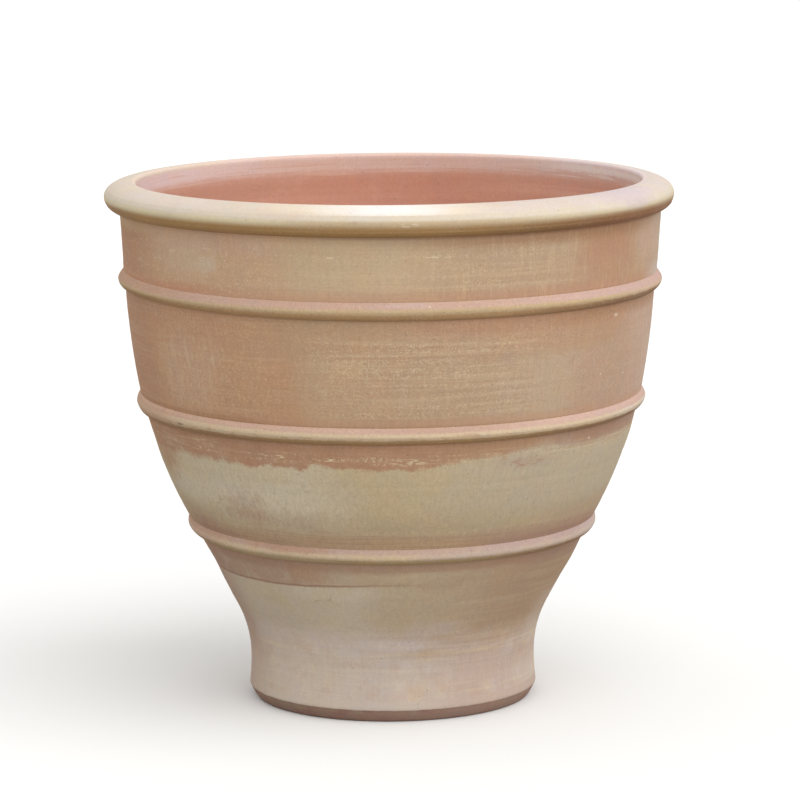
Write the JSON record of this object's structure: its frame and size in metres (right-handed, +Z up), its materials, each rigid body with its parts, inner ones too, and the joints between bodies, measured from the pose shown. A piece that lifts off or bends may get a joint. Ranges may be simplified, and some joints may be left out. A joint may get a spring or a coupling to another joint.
{
  "type": "garden planter",
  "caption": "Large round unglazed terracotta garden planter with a rolled rim, raised bands, a narrow flared foot and a drain hole.",
  "frame": {"origin": "middle of the flat underside that rests on the ground", "axes": "+Z up along the axis the pot was thrown on; the pot is round, so X and Y are free; seen in the picture along +Y"},
  "size_m": [0.7999, 0.8, 0.737],
  "materials": {
    "terracotta_foot": "unglazed, matt, pale buff bloom over pink-brown clay",
    "terracotta_body": "unglazed, matt, orange-tan with fine wheel lines",
    "terracotta_rim": "unglazed, matt, cream bloom on top, tan below",
    "terracotta_band": "unglazed, matt, pink with a pale worn edge"
  },
  "bodies": {
    "root": {"base_disc": "terracotta_foot", "foot_stage": "terracotta_foot", "middle_stage": "terracotta_body", "upper_stage": "terracotta_body", "collar_stage": "terracotta_body", "rim_roll": "terracotta_rim", "lower_band": "terracotta_band", "middle_band": "terracotta_band", "upper_band": "terracotta_band"}
  },
  "joints": []
}
